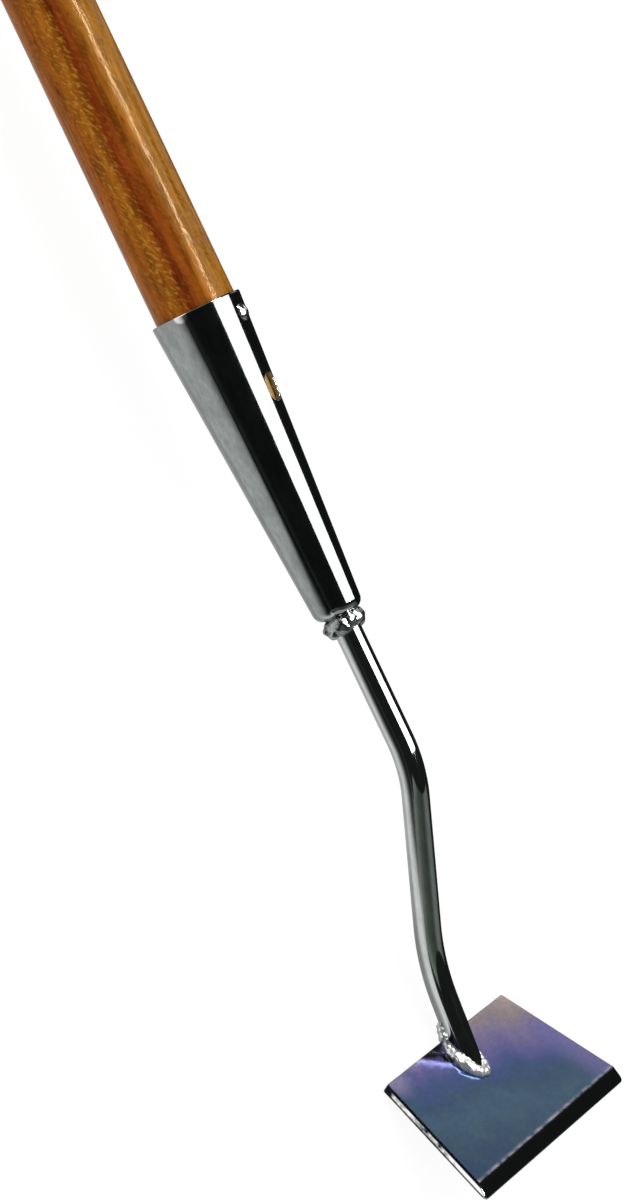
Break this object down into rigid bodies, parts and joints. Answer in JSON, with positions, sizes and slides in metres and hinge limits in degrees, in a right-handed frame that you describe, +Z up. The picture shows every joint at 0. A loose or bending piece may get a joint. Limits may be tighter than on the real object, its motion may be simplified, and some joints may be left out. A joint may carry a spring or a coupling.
{
  "type": "dutch hoe",
  "caption": "Long handled push hoe with a flat bevelled trapezoid blade on a swan neck, a tapered polished socket and a round varnished ash shaft.",
  "frame": {"origin": "centre of the box's underside, on the ground that the hoe lies on with the blade's underside down", "axes": "+X along the tool towards the blade's cutting edge, +Y across the tool towards the blade's left end seen from the butt, +Z up"},
  "size_m": [1.721, 0.1156, 0.0536],
  "materials": {
    "varnished_ash": "clear varnish over orange-brown ash with long dark grain",
    "polished_socket": "mirror-polished stainless steel tube",
    "polished_bar": "mirror-polished stainless steel bar",
    "polished_blade": "mirror-polished stainless steel plate with a ground bevel",
    "polished_pin": "bright steel pin",
    "weld_metal": "bright polished weld beads"
  },
  "bodies": {
    "root": {"ash_shaft": "varnished_ash", "socket": "polished_socket", "socket_pin": "polished_pin", "swan_neck": "polished_bar", "blade": "polished_blade", "socket_weld": "weld_metal", "foot_weld": "weld_metal", "heel_weld": "weld_metal"}
  },
  "joints": []
}
